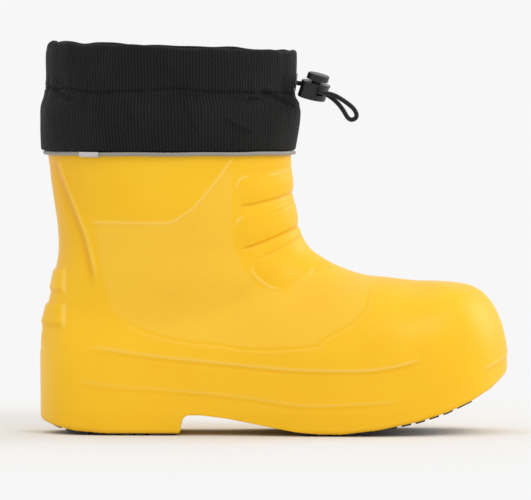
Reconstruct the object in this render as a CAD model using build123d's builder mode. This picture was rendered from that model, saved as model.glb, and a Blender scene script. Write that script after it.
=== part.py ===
from build123d import *
import math
import os

os.makedirs("parts", exist_ok=True)

# A right-foot deck boot. Millimetres, +X to the toe, +Z up, -Y to the outer (lateral) side.
# The origin is on the ground, at the middle of the boot's length and width.

# ---- moulded shell ----
WALL = 4.0  # upper's wall
FLOOR = 17.0  # top of the moulded sole inside the boot
SOLE_SIDE = 5.0  # how much thicker the wall is beside the sole
SHELL_TOP = 180.6
ARCH_RISE = 12.6
HEEL_BREAST = -59.5
TREAD_PROUD = 1.2  # how far the rubber stands below the moulded sole
TREAD_DEPTH = 3.2  # how far it is let into the sole
GROOVE_DEPTH = 2.6
GROOVE_WIDTH = 3.0
GROOVE_PITCH = 9.0

# ---- lining and footbed ----
LINING_GAP = 0.25
LINING = 1.4
FOOTBED = 5.0
FOOTBED_COVER = 0.8

# ---- cuff ----
FABRIC = 1.1
TUNNEL = 5.2  # from the outer layer's back to the lining's face
CUFF_LINING = 0.8
PIPING_Z = 180.9
PIPING_D = 2.6
PIPING_CORE_D = 1.3
TAB_LENGTH = 13.8
TAB_THICK = 0.75
TAB_RISE = 1.0  # how far the tab reaches above the piping's middle
STITCH_GAP = 0.55  # between the piping and the shell

# ---- eyelet and drawcord ----
CORD_D = 2.9
CORD_GAP = 3.1  # between the two strands' centres in the eyelet
EYELET_Z = 226.4
EYELET_X = 14.6  # the flange's back face
EYELET_DOWN = 7.0  # how far the eyelet faces down, in degrees
EYELET_BARREL = 2.7
EYELET_OD = 11.6
EYELET_HOLE_D = 6.5
EYELET_BARREL_D = 7.5
EYELET_SHEET = 0.7

# ---- cord lock ----
LOCK_WIDE = 24.0
LOCK_DEEP = 13.5
LOCK_HALF_HEIGHT = 5.5
HEAD_WIDE = 17.4
HEAD_DEEP = 11.0
HEAD_THICK = 4.2
PRESS = 1.5  # plunger travel
HEAD_GAP = 1.7  # from the barrel's rim to the head at rest
STEM_WIDE = 10.0
STEM_DEEP = 6.0
STEM_PLAY = 0.2
NECK_WIDE = 7.0
NECK_DEEP = 5.5
SLOT_WIDE = 6.6  # room for two strands side by side
SLOT_HIGH = 4.4
SLOT_FOOT = -1.6  # the barrel's cord hole starts here, from its middle
SLOT_OFFSET = 1.4  # how far the spring holds the plunger's hole above the barrel's
SPRING_D = 4.6
SPRING_WIRE = 0.4
SPRING_GAP = 0.15
LOCK_CENTRE = (26.2, -6.9, 221.0)
LOCK_UP = Vector(0.31, -0.13, 0.94).normalized()
LOCK_TURN = 45  # how far the cord hole is turned from straight ahead, to the outer side

# Outline of the sole at its widest, from the back of the heel round the outer side to the toe
# and back along the inner side.
SOLE_OUTLINE = [
    (-149.8, 1.0),
    (-139.5, -27.0),
    (-112.0, -39.5),
    (-70.0, -41.5),
    (-28.0, -43.5),
    (12.0, -51.0),
    (50.0, -56.0),
    (92.0, -52.5),
    (126.0, -37.5),
    (146.5, -12.0),
    (151.5, 12.0),
    (142.0, 36.0),
    (113.0, 52.0),
    (74.0, 56.0),
    (34.0, 50.5),
    (-6.0, 40.5),
    (-44.0, 37.0),
    (-82.0, 38.5),
    (-116.0, 39.0),
    (-140.0, 27.0),
]

# Foot levels: height, then how far the outline is drawn in at the heel, toe and sides, then the
# surface's slope there in degrees from upright.
FOOT_LEVELS = [
    (0.0, 1.0, 1.0, 2.0, 0),
    (14.0, 0.3, 0.5, 0.3, 0),
    (40.0, 0.0, 0.5, 0.0, 0),
    (58.0, 0.0, 0.0, 2.2, 8),
    (71.0, 1.8, 3.2, 7.5, 26),
    (81.0, 3.5, 6.5, 13.5, 40),
    (89.0, 6.5, 11.0, 21.0, 52),
    (94.5, 9.0, 19.0, 30.0, 66),
    (98.5, 12.0, 40.0, 39.0, 80),
]

# Shaft levels: height, back, front, half width, how egg-shaped the section is, and how much more
# the front moves than the wall when the surface is offset.
SHAFT_LEVELS = [
    (50.0, -149.2, 40.0, 36.0, 0.20, 1.0),
    (68.0, -149.6, 56.0, 37.0, 0.25, 1.0),
    (84.0, -145.4, 60.0, 39.0, 0.28, 1.2),
    (97.0, -142.4, 58.0, 41.5, 0.28, 1.8),
    (102.5, -141.3, 52.0, 42.5, 0.27, 2.2),
    (107.0, -140.5, 43.5, 43.5, 0.25, 2.2),
    (112.0, -139.3, 33.4, 44.5, 0.21, 2.1),
    (117.5, -138.6, 24.2, 45.5, 0.17, 1.8),
    (124.0, -138.6, 19.4, 47.0, 0.13, 1.2),
    (135.0, -139.3, 16.2, 49.0, 0.10, 1.0),
    (150.0, -141.6, 13.2, 51.5, 0.08, 1.0),
    (165.0, -143.8, 12.2, 53.0, 0.07, 1.0),
    (SHELL_TOP, -145.5, 11.6, 54.0, 0.06, 1.0),
]

# Cuff levels: height at x = 0, back, front, half width and tilt towards the toe in degrees.
CUFF_LEVELS = [
    (182.4, -149.9, 14.4, 56.6, 0.0),
    (188.0, -150.6, 15.2, 57.4, 0.0),
    (198.0, -151.5, 16.2, 58.0, 0.0),
    (208.0, -151.4, 17.2, 58.0, 0.2),
    (213.0, -150.4, 16.6, 57.4, 0.4),
    (218.0, -148.2, 14.3, 56.2, 0.7),
    (225.0, -146.6, 14.2, 55.2, 1.0),
    (233.0, -147.0, 15.2, 55.4, 1.4),
    (241.0, -147.0, 15.4, 55.6, 1.7),
    (247.6, -145.0, 15.2, 54.6, 2.1),
]

# Side view of what is cut away under the moulded sole, along the rocker, arch and heel.
ROCKER = [
    (44.0, 1.2),
    (68.0, 4.0),
    (94.0, 9.4),
    (112.0, 15.0),
    (128.0, 22.0),
    (141.0, 29.5),
    (153.0, 40.0),
]
HEEL_ROLL = [(-108.0, 1.2), (-128.0, 2.6), (-142.0, 5.6), (-153.0, 9.6)]

# Side view of the floor inside the boot, from the heel to the toe.
FLOOR_LINE = [(-150.0, FLOOR), (72.0, FLOOR), (98.0, 20.5), (120.0, 29.0), (136.0, 38.0), (156.0, 54.0)]

SOLE_REACH = 151.5
SOLE_HALF_WIDTH = 56.0
SECTION_POINTS = 16


def drawn_in(heel, toe, side):
    """The sole's outline drawn in by its own amount at the heel, the toe and the sides."""
    moved = []
    for x, y in SOLE_OUTLINE:
        ends = heel if x < 0 else toe
        along = abs(x) / SOLE_REACH
        moved.append((x * (1 - ends * along / SOLE_REACH), y * (1 - side / SOLE_HALF_WIDTH)))
    return moved


def foot_form(offset, bottom=None):
    """The foot of the boot as a solid, with its surface moved in by offset."""
    levels = []
    for z, heel, toe, side, slope in FOOT_LEVELS:
        out = offset * math.cos(math.radians(slope))
        down = offset * math.sin(math.radians(slope))
        thick = SOLE_SIDE * max(0.0, 1 - z / 58.0) if offset > 0 else 0.0
        levels.append((z - down, heel + out + thick, toe + out + thick, side + out + thick))
    if bottom is not None:
        first = levels[1]
        levels = [(bottom, first[1] + 4, first[2] + 4, first[3] + 4)] + [
            level for level in levels if level[0] > bottom + 6
        ]
    with BuildPart() as form:
        for z, heel, toe, side in levels:
            with BuildSketch(Plane.XY.offset(z)):
                with BuildLine():
                    Spline(*drawn_in(heel, toe, side), periodic=True)
                make_face()
        loft(ruled=True)
    return form.part


def egg(back, front, half, egg_shape, count=SECTION_POINTS):
    """Points of an oval that is narrower to the front, from its back round the outer side."""
    middle = (front + back) / 2
    reach = (front - back) / 2
    points = []
    for i in range(count):
        turn = 2 * math.pi * i / count + math.pi
        across = half * math.sin(turn) * (1 - egg_shape * math.cos(turn))
        points.append((middle + reach * math.cos(turn), across))
    return points


def level_plane(z, tilt=0.0):
    """A level plane at x = 0, tipped down towards the toe by tilt degrees."""
    lean = math.radians(tilt)
    return Plane(
        origin=(0, 0, z),
        x_dir=(math.cos(lean), 0, -math.sin(lean)),
        z_dir=(math.sin(lean), 0, math.cos(lean)),
    )


def oval_form(levels):
    """A solid through ovals: height, back, front, half width, egg shape and tilt."""
    with BuildPart() as form:
        for z, back, front, half, egg_shape, tilt in levels:
            with BuildSketch(level_plane(z, tilt)):
                with BuildLine():
                    Spline(*egg(back, front, half, egg_shape), periodic=True)
                make_face()
        loft(ruled=True)
    return form.part


def shaft_form(offset, top=None):
    """The shaft and instep as a solid, with its surface moved in by offset."""
    levels = []
    for z, back, front, half, egg_shape, share in SHAFT_LEVELS:
        height = top if top is not None and z == SHELL_TOP else z
        levels.append((height, back + offset, front - offset * share, half - offset, egg_shape, 0))
    return oval_form(levels)


def cuff_form(offset, top_drop=0.0, foot=None):
    """The cuff's form moved in by offset, its top lowered and its foot moved to a height."""
    levels = []
    for z, back, front, half, tilt in CUFF_LEVELS:
        height = z
        if z == CUFF_LEVELS[-1][0]:
            height = z - top_drop
        if foot is not None and z == CUFF_LEVELS[0][0]:
            height = foot
        levels.append((height, back + offset, front - offset, half - offset, 0.06, tilt))
    return oval_form(levels)


def side_cut(points, width=140):
    """A solid of a side-view outline, right across the boot."""
    with BuildPart() as cut:
        with BuildSketch(Plane.XZ):
            with BuildLine():
                Polyline(*points, close=True)
            make_face()
        extrude(amount=width / 2, both=True)
    return cut.part


def moved_up(line, rise):
    """A side-view line moved up."""
    return [(x, z + rise) for x, z in line]


def inside_foot(offset, rise):
    """The hollow of the foot: the form moved in, above the floor line raised by rise."""
    with BuildPart() as form:
        add(foot_form(offset, bottom=FLOOR + rise))
        below = [(160, 0)] + list(reversed(moved_up(FLOOR_LINE[1:], rise)))
        add(side_cut(below), mode=Mode.SUBTRACT)
    return form.part


def tube(points, radii, diameter, bore=0.0, close=False):
    """A cord: straight runs joined by tangent arcs."""
    with BuildPart() as cord:
        with BuildLine() as path:
            FilletPolyline(*points, radius=radii, close=close)
        with BuildSketch(Plane(origin=path.wire() @ 0, z_dir=path.wire() % 0)):
            Circle(diameter / 2)
            if bore:
                Circle(bore / 2, mode=Mode.SUBTRACT)
        sweep(transition=Transition.ROUND)
    return cord.part, path.wire().length


def bend_radii(points, close=False, smallest=0.0):
    """The largest radius that each corner's two runs leave room for."""
    corners = range(len(points)) if close else range(1, len(points) - 1)
    radii = []
    for i in corners:
        before = Vector(*points[i]) - Vector(*points[i - 1])
        after = Vector(*points[(i + 1) % len(points)]) - Vector(*points[i])
        half_turn = math.radians(before.get_angle(after)) / 2
        reach = 0.45 * min(before.length, after.length)
        radii.append(max(smallest, reach / math.tan(half_turn)))
    return radii


def finish(solid, name):
    """Labels a piece and writes it."""
    solid.label = name
    export_step(solid, f"parts/{name}.step")


# ---- treads: rubber pads let into the sole ----
def height_at(line, x):
    """The height of a side-view line at x."""
    for (x0, z0), (x1, z1) in zip(line, line[1:]):
        if x0 <= x <= x1:
            return z0 + (z1 - z0) * (x - x0) / (x1 - x0)
    return line[-1][1]


def tread_blank(line):
    """A rubber pad before its grooves are cut, following the sole's underside."""
    outline = moved_up(line, -TREAD_PROUD) + list(reversed(moved_up(line, TREAD_DEPTH)))
    with BuildPart() as blank:
        with BuildSketch():
            with BuildLine():
                Spline(*drawn_in(8, 9, 6), periodic=True)
            make_face()
        extrude(amount=60)
        add(side_cut(outline), mode=Mode.INTERSECT)
    return blank.part


def grooved(blank, line):
    """The pad with grooves across it, open underneath."""
    back = line[0][0]
    front = line[-1][0]
    with BuildPart() as pad:
        add(blank)
        for i in range(1, int((front - back) / GROOVE_PITCH)):
            x = back + i * GROOVE_PITCH
            z = height_at(line, x)
            with BuildSketch(Plane.XZ):
                with Locations((x, z - TREAD_PROUD)):
                    Rectangle(GROOVE_WIDTH, 2 * GROOVE_DEPTH)
            extrude(amount=70, both=True, mode=Mode.SUBTRACT)
    return pad.part


heel_line = [(-144.0, 6.4), (-128.0, 2.6), (-108.0, 1.2), (-64.0, 1.2)]
toe_line = [(18.0, 2.4), (29.0, 1.2), (44.0, 1.2), (68.0, 4.0), (94.0, 9.4), (112.0, 15.0), (128.0, 22.0)]
heel_blank = tread_blank(heel_line)
toe_blank = tread_blank(toe_line)
finish(grooved(heel_blank, heel_line), "heel_tread")
finish(grooved(toe_blank, toe_line), "forefoot_tread")

# ---- boot_shell: the one-piece moulded upper and sole ----
under_arch = [(HEEL_BREAST, -5), (HEEL_BREAST + 3.4, ARCH_RISE), (-46, ARCH_RISE + 0.4)]
under_arch += [(-30, 11.0), (-8, 6.8), (14, 2.6), (29, TREAD_PROUD), (29, -5)]
under_toe = [(28, -5), (28, TREAD_PROUD)] + ROCKER + [(170, 40), (170, -5)]
under_heel = [(-58, -5), (-58, TREAD_PROUD)] + HEEL_ROLL + [(-170, 9.6), (-170, -5)]

with BuildPart() as boot_shell:
    add(foot_form(0))
    add(side_cut(under_heel), mode=Mode.SUBTRACT)
    add(side_cut(under_arch), mode=Mode.SUBTRACT)
    add(side_cut(under_toe), mode=Mode.SUBTRACT)
    add(shaft_form(0))
    add(inside_foot(WALL, 0) + shaft_form(WALL, top=SHELL_TOP + 2), mode=Mode.SUBTRACT)
    add(heel_blank, mode=Mode.SUBTRACT)
    add(toe_blank, mode=Mode.SUBTRACT)

finish(boot_shell.part, "boot_shell")

# ---- lining_sock: knitted lining bonded inside the shell ----
lining_out = WALL + LINING_GAP
lining_in = lining_out + LINING
LINING_TOP = 171.0


def sock(offset, rise, top):
    """The boot's inside moved in by offset, from the raised floor up to a level top."""
    with BuildPart() as form:
        add(inside_foot(offset, rise) + shaft_form(offset))
        with BuildSketch(Plane.XY.offset(top)):
            Rectangle(400, 200)
        extrude(amount=60, mode=Mode.SUBTRACT)
    return form.part


with BuildPart() as lining_sock:
    add(sock(lining_out, LINING_GAP, LINING_TOP))
    add(sock(lining_in, LINING_GAP + LINING, LINING_TOP + 5), mode=Mode.SUBTRACT)

finish(lining_sock.part, "lining_sock")

# ---- footbed and its cloth ----
footbed_rise = LINING_GAP + LINING + 0.15
footbed_edge = 17.0


def inlay(rise, thickness, name):
    """An inlay of the boot's plan that follows the floor."""
    line = FLOOR_LINE[:4]
    outline = moved_up(line, rise) + list(reversed(moved_up(line, rise + thickness)))
    with BuildPart() as form:
        with BuildSketch():
            with BuildLine():
                Spline(*drawn_in(footbed_edge, footbed_edge, footbed_edge - 2), periodic=True)
            make_face()
        extrude(amount=60)
        add(side_cut(outline), mode=Mode.INTERSECT)
    finish(form.part, name)


inlay(footbed_rise, FOOTBED, "footbed")
inlay(footbed_rise + FOOTBED, FOOTBED_COVER, "footbed_cover")

# ---- cuff_outer: the nylon layer, sewn to the shell by a skirt inside its top ----
skirt_out = WALL + 0.3
skirt_in = skirt_out + 0.9
SKIRT_FOOT = 172.0
CUFF_MOUTH = 300.0  # well above the cuff, to open it


def shell_oval(offset, height=SHELL_TOP):
    """The oval of the shaft's top length at a height, moved in by offset."""
    lower, upper = SHAFT_LEVELS[-2:]
    part_way = min(1.0, (height - lower[0]) / (upper[0] - lower[0]))
    back, front, half, egg_shape = [
        a + (b - a) * part_way for a, b in zip(lower[1:5], upper[1:5])
    ]
    return back + offset, front - offset, half - offset, egg_shape, 0


def shell_levels(offset, heights):
    """Levels of the shaft's top length, moved in by offset."""
    return [(height,) + shell_oval(offset, height) for height in heights]


def skirt(low, high):
    """The cuff's lower edge, lying against the shell's inside."""
    with BuildPart() as ring:
        add(oval_form(shell_levels(skirt_out, (low, SHELL_TOP, high))))
        add(oval_form(shell_levels(skirt_in, (low - 1, SHELL_TOP, high + 1))), mode=Mode.SUBTRACT)
    return ring.part


eyelet_out = Vector(1, 0, 0).rotate(Axis.Y, EYELET_DOWN)
eyelet_plane = Plane(origin=(EYELET_X, 0, EYELET_Z), x_dir=(0, 1, 0), z_dir=eyelet_out)

with BuildPart() as cuff_outer:
    add(cuff_form(0))
    add(cuff_form(FABRIC, top_drop=FABRIC, foot=CUFF_LEVELS[0][0] + FABRIC), mode=Mode.SUBTRACT)
    add(oval_form(shell_levels(skirt_in, (SHELL_TOP, CUFF_MOUTH))), mode=Mode.SUBTRACT)
    add(skirt(SKIRT_FOOT, CUFF_LEVELS[0][0] + 0.4))
    with BuildSketch(eyelet_plane):
        Circle(EYELET_BARREL_D / 2 + 0.1)
    extrude(amount=8, both=True, mode=Mode.SUBTRACT)

finish(cuff_outer.part, "cuff_outer")

# ---- cuff_lining: the inner layer, from the fold at the top to below the skirt ----
lining_face = FABRIC + TUNNEL
LINING_FOOT = 166.0


def cuff_lining_form(offset, top_drop):
    """The cuff's inner layer with its surface moved in by offset."""
    levels = shell_levels(lining_in + 0.3 + offset, (LINING_FOOT, SHELL_TOP))
    inside = lining_face + offset
    for z, back, front, half, tilt in CUFF_LEVELS[2:]:
        drop = top_drop if z == CUFF_LEVELS[-1][0] else 0.0
        levels.append((z - drop, back + inside, front - inside, half - inside, 0.06, tilt))
    return oval_form(levels)


with BuildPart() as cuff_lining:
    add(cuff_lining_form(0, FABRIC + 0.3))
    add(cuff_lining_form(CUFF_LINING, 0.0), mode=Mode.SUBTRACT)

finish(cuff_lining.part, "cuff_lining")

# ---- cuff_piping and its core: a reflective strip sewn round a cord filler ----
def ring_points(count, height, back, front, half, egg_shape):
    """Points round an oval at one height."""
    return [(x, y, height) for x, y in egg(back, front, half, egg_shape, count)]


piping_route = ring_points(36, PIPING_Z, *shell_oval(-PIPING_D / 2 - STITCH_GAP)[:4])
piping_radii = bend_radii(piping_route, close=True)
piping = tube(piping_route, piping_radii, PIPING_D, PIPING_CORE_D + 0.1, close=True)[0]
piping_core = tube(piping_route, piping_radii, PIPING_CORE_D, close=True)[0]
finish(piping, "cuff_piping")
finish(piping_core, "piping_core")

# ---- cuff_tab: a woven tab folded over the piping on the outer side ----
piping_room = tube(piping_route, piping_radii, PIPING_D + 0.2, close=True)[0]
tab_middle = Vector(*piping_route[5])
tab_along = (Vector(*piping_route[6]) - Vector(*piping_route[4])).normalized()
tab_plane = Plane(origin=tab_middle - tab_along * (TAB_LENGTH / 2), z_dir=tab_along, x_dir=(0, 0, 1))

with BuildPart() as cuff_tab:
    with BuildSketch(tab_plane):
        with BuildLine():
            out = PIPING_D / 2 + TAB_THICK
            Polyline((-out, 0), (-out, out), (TAB_RISE, out), (TAB_RISE, 0), close=True)
        make_face()
        fillet(vertices().group_by(Axis.Y)[-1], TAB_THICK)
    extrude(amount=TAB_LENGTH)
    add(piping_room, mode=Mode.SUBTRACT)

finish(cuff_tab.part, "cuff_tab")

# ---- eyelet: a grommet through the outer layer, and the washer that it is set over ----
with BuildPart() as eyelet_grommet:
    with BuildSketch(eyelet_plane):
        Circle(EYELET_OD / 2)
    extrude(amount=EYELET_SHEET)
    fillet(edges().sort_by(Axis(eyelet_plane.origin, eyelet_plane.z_dir))[-1], 0.5)
    with BuildSketch(eyelet_plane):
        Circle(EYELET_BARREL_D / 2)
    extrude(amount=-EYELET_BARREL)
    with BuildSketch(eyelet_plane):
        Circle(EYELET_HOLE_D / 2)
    extrude(amount=EYELET_BARREL + 2, both=True, mode=Mode.SUBTRACT)

with BuildPart() as eyelet_washer:
    with BuildSketch(eyelet_plane.offset(-EYELET_BARREL)):
        Circle(EYELET_OD / 2)
        Circle(EYELET_BARREL_D / 2 + 0.03, mode=Mode.SUBTRACT)
    extrude(amount=EYELET_SHEET)

finish(eyelet_grommet.part, "eyelet_grommet")
finish(eyelet_washer.part, "eyelet_washer")

# ---- drawcord: the elastic cord in the tunnel, out through the eyelet at both ends ----
cord_middle = eyelet_plane.from_local_coords((0, -0.5, EYELET_SHEET + 0.3))
cord_corner = eyelet_plane.from_local_coords((0, -0.5, EYELET_SHEET + 0.3 - 5.6))
tunnel_points = ring_points(36, EYELET_Z, -146.7 + 4.25, 14.4 - 4.25, 55.2 - 4.25, 0.06)
side = CORD_GAP / 2
drawcord_route = [(cord_middle.X, -side, cord_middle.Z), (cord_corner.X, -side, cord_corner.Z)]
drawcord_route += list(reversed(tunnel_points[:18])) + list(reversed(tunnel_points[19:]))
drawcord_route += [(cord_corner.X, side, cord_corner.Z), (cord_middle.X, side, cord_middle.Z)]
drawcord_radii = bend_radii(drawcord_route)
drawcord, drawcord_length = tube(drawcord_route, drawcord_radii, CORD_D)
finish(drawcord, "drawcord")

# ---- cord lock: barrel, plunger and spring ----
ahead = (Vector(1, 0, 0) - LOCK_UP * LOCK_UP.X).normalized()
lock = Plane(origin=LOCK_CENTRE, x_dir=ahead.rotate(Axis((0, 0, 0), LOCK_UP), -LOCK_TURN), z_dir=LOCK_UP)
lock_axis = Axis(lock.origin, lock.z_dir)
rim_z = LOCK_HALF_HEIGHT
stem_foot = SLOT_FOOT + SLOT_OFFSET - 1.0
pocket_floor = -LOCK_HALF_HEIGHT + 1.1

with BuildPart() as cord_lock_barrel:
    with BuildSketch(lock.offset(-rim_z)):
        Ellipse(LOCK_DEEP / 2 - 0.4, LOCK_WIDE / 2 - 0.4)
    extrude(amount=2 * rim_z - 1.4)
    fillet(edges().sort_by(lock_axis)[0], 0.8)
    with BuildSketch(lock.offset(rim_z - 1.4)):
        Ellipse(LOCK_DEEP / 2, LOCK_WIDE / 2)
    extrude(amount=1.4)
    with BuildSketch(lock.offset(pocket_floor)):
        RectangleRounded(STEM_DEEP + 2 * STEM_PLAY, STEM_WIDE + 2 * STEM_PLAY, 1.6)
    extrude(amount=2 * rim_z, mode=Mode.SUBTRACT)
    with BuildSketch(Plane(origin=lock.from_local_coords((0, 0, 0)), z_dir=lock.x_dir, x_dir=lock.y_dir)):
        with Locations((0, SLOT_FOOT + SLOT_HIGH / 2)):
            RectangleRounded(SLOT_WIDE, SLOT_HIGH, 1.5)
    extrude(amount=LOCK_DEEP, both=True, mode=Mode.SUBTRACT)

with BuildPart() as cord_lock_plunger:
    with BuildSketch(lock.offset(stem_foot)):
        RectangleRounded(STEM_DEEP, STEM_WIDE, 1.4)
    extrude(amount=rim_z - 0.4 - stem_foot)
    with BuildSketch(lock.offset(rim_z - 0.4)):
        Ellipse(NECK_DEEP / 2, NECK_WIDE / 2)
    extrude(amount=HEAD_GAP + 0.4)
    with BuildSketch(lock.offset(rim_z + HEAD_GAP)):
        Ellipse(HEAD_DEEP / 2, HEAD_WIDE / 2)
    extrude(amount=HEAD_THICK)
    fillet(edges().sort_by(lock_axis)[-1], 1.0)
    with BuildSketch(Plane(origin=lock.from_local_coords((0, 0, 0)), z_dir=lock.x_dir, x_dir=lock.y_dir)):
        with Locations((0, SLOT_FOOT + SLOT_OFFSET + SLOT_HIGH / 2 + 0.1)):
            RectangleRounded(SLOT_WIDE, SLOT_HIGH + 0.2, 1.5)
    extrude(amount=LOCK_DEEP, both=True, mode=Mode.SUBTRACT)

spring_height = stem_foot - pocket_floor - SPRING_WIRE - 2 * SPRING_GAP
spring_foot = lock.from_local_coords((0, 0, pocket_floor + SPRING_WIRE / 2 + SPRING_GAP))
with BuildPart() as cord_lock_spring:
    with BuildLine() as coil:
        Helix(
            spring_height / 3,
            spring_height,
            (SPRING_D - SPRING_WIRE) / 2,
            center=spring_foot,
            direction=LOCK_UP,
        )
    with BuildSketch(Plane(origin=coil.line @ 0, z_dir=coil.line % 0)):
        Circle(SPRING_WIRE / 2)
    sweep(is_frenet=True)

finish(cord_lock_barrel.part, "cord_lock_barrel")
finish(cord_lock_plunger.part, "cord_lock_plunger")
finish(cord_lock_spring.part, "cord_lock_spring")

# ---- drawcord_leads and drawcord_loop: the free cord outside the eyelet ----
LOOP_ROUTE = [
    (20.97, -3.52, 224.57),
    (31.25, -13.78, 219.76),
    (38.6, -18.2, 218.8),
    (45.2, -19.6, 215.0),
    (52.4, -20.6, 209.6),
    (54.5, -20.8, 203.8),
    (49.0, -20.2, 201.6),
    (44.6, -18.8, 209.8),
    (39.4, -15.6, 215.4),
    (33.24, -11.62, 219.4),
    (22.96, -1.36, 224.21),
]
OUTER_LEAD = [(15.9, -1.55, 225.74), (18.95, -1.55, 225.45), (20.87, -3.42, 224.62)]
INNER_LEAD = [(15.9, 1.55, 225.74), (20.04, 1.55, 225.5), (22.86, -1.26, 224.26)]

loop_radii = bend_radii(LOOP_ROUTE)
drawcord_loop, loop_length = tube(LOOP_ROUTE, loop_radii, CORD_D)
outer_lead, outer_length = tube(OUTER_LEAD, bend_radii(OUTER_LEAD), CORD_D)
inner_lead, inner_length = tube(INNER_LEAD, bend_radii(INNER_LEAD), CORD_D)
finish(drawcord_loop, "drawcord_loop")
finish(Compound(children=[outer_lead, inner_lead]), "drawcord_leads")

section = math.pi * (CORD_D / 2) ** 2
print("loop radii", [round(radius, 1) for radius in loop_radii])
print("loop volume", round(drawcord_loop.volume), "section x length", round(section * loop_length))
print("drawcord volume", round(drawcord.volume), "section x length", round(section * drawcord_length))
print("free cord length", round(loop_length + outer_length + inner_length, 1))
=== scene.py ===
import math

import bpy
import numpy as np
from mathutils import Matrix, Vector


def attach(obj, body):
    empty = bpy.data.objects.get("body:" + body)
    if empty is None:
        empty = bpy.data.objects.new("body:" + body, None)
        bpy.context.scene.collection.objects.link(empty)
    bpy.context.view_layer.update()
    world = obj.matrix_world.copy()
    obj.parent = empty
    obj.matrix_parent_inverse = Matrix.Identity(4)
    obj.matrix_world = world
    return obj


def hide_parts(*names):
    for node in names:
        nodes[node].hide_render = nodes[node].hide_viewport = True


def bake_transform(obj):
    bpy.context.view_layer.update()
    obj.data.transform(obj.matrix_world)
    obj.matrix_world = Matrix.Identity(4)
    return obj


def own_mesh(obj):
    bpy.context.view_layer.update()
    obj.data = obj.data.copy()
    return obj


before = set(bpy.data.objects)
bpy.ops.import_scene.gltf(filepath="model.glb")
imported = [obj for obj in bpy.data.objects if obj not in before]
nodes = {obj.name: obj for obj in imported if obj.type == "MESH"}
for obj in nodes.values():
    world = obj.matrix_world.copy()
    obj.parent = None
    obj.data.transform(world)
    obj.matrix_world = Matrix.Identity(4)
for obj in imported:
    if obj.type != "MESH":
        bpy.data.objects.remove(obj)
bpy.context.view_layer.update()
scene = bpy.context.scene
MM = 0.001

# ---- camera ----
TARGET = Vector((-0.0049, 0.0, 0.1178))
DISTANCE = 5.0
VIEW_WIDTH = 0.3435
LOOK_DOWN = math.radians(2.0)
camera_data = bpy.data.cameras.new("camera")
camera_data.sensor_width = 36.0
camera_data.lens = 36.0 * DISTANCE / VIEW_WIDTH
camera = bpy.data.objects.new("camera", camera_data)
camera.location = TARGET + DISTANCE * Vector((0, -math.cos(LOOK_DOWN), math.sin(LOOK_DOWN)))
camera.rotation_euler = (math.radians(90) - LOOK_DOWN, 0, 0)
scene.collection.objects.link(camera)
scene.camera = camera


# ---- mesh helpers, in millimetres ----
def link(name, mesh, material):
    """An object of a mesh, smooth, with one material."""
    mesh.polygons.foreach_set("use_smooth", np.ones(len(mesh.polygons), dtype=bool))
    mesh.materials.append(material)
    piece = bpy.data.objects.new(name, mesh)
    scene.collection.objects.link(piece)
    return piece


def grid_faces(rows, cols, wrap=True, first=0, flip=False):
    """Quads of a grid of vertices, closed round its columns if wrap."""
    r = np.arange(rows - 1)[:, None]
    c = np.arange(cols if wrap else cols - 1)[None, :]
    after = (c + 1) % cols
    quads = [r * cols + c, r * cols + after, (r + 1) * cols + after, (r + 1) * cols + c]
    quads = np.stack([q + np.zeros_like(r * c) for q in quads], axis=-1).reshape(-1, 4) + first
    return quads[:, ::-1] if flip else quads


def mesh_of(name, points, faces, uv=None, values=None):
    """A mesh of millimetre points, with an optional UV per vertex and named values per vertex."""
    mesh = bpy.data.meshes.new(name)
    mesh.from_pydata((np.asarray(points).reshape(-1, 3) * MM).tolist(), [], [list(f) for f in faces])
    if uv is not None:
        layer = mesh.uv_layers.new(name="across")
        index = np.empty(len(mesh.loops), dtype=np.int32)
        mesh.loops.foreach_get("vertex_index", index)
        layer.data.foreach_set("uv", np.asarray(uv, dtype=np.float32).reshape(-1, 2)[index].ravel())
    for key, value in (values or {}).items():
        attribute = mesh.attributes.new(key, "FLOAT", "POINT")
        attribute.data.foreach_set("value", np.asarray(value, dtype=np.float32).ravel())
    mesh.update()
    return mesh


def fade(low, high, value):
    """0 below low, 1 above high, smooth between."""
    t = np.clip((value - low) / (high - low), 0, 1)
    return t * t * (3 - 2 * t)


def dip(distance, width):
    """A soft bump of height 1 where the distance is 0."""
    return np.exp(-((distance / width) ** 2))


def through(points, per_leg=8, closed=False):
    """Points of a smooth line through the given points."""
    p = np.asarray(points, dtype=float)
    if closed:
        p = np.vstack([p[-1], p, p[0], p[1]])
    else:
        p = np.vstack([2 * p[0] - p[1], p, 2 * p[-1] - p[-2]])
    t = (np.arange(per_leg) / per_leg)[:, None]
    legs = []
    for i in range(1, len(p) - 2):
        a, b, c, d = p[i - 1], p[i], p[i + 1], p[i + 2]
        squared = (2 * a - 5 * b + 4 * c - d) * t**2
        cubed = (3 * b - a - 3 * c + d) * t**3
        legs.append(0.5 * (2 * b + (c - a) * t + squared + cubed))
    if not closed:
        legs.append(p[-2][None])
    return np.vstack(legs)


def to_line(x, z, line):
    """Signed distance to a side-view line (above is positive) and how far along it, 0 to 1."""
    best = np.full(x.shape, 1e9)
    side = np.ones(x.shape)
    along = np.zeros(x.shape)
    count = len(line) - 1
    for i in range(count):
        (x0, z0), (x1, z1) = line[i], line[i + 1]
        dx, dz = x1 - x0, z1 - z0
        t = np.clip(((x - x0) * dx + (z - z0) * dz) / (dx * dx + dz * dz + 1e-9), 0, 1)
        d = np.hypot(x - x0 - t * dx, z - z0 - t * dz)
        near = d < best
        best = np.where(near, d, best)
        side = np.where(near, np.sign(dx * (z - z0) - dz * (x - x0)), side)
        along = np.where(near, (i + t) / count, along)
    return best * side, along


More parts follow.
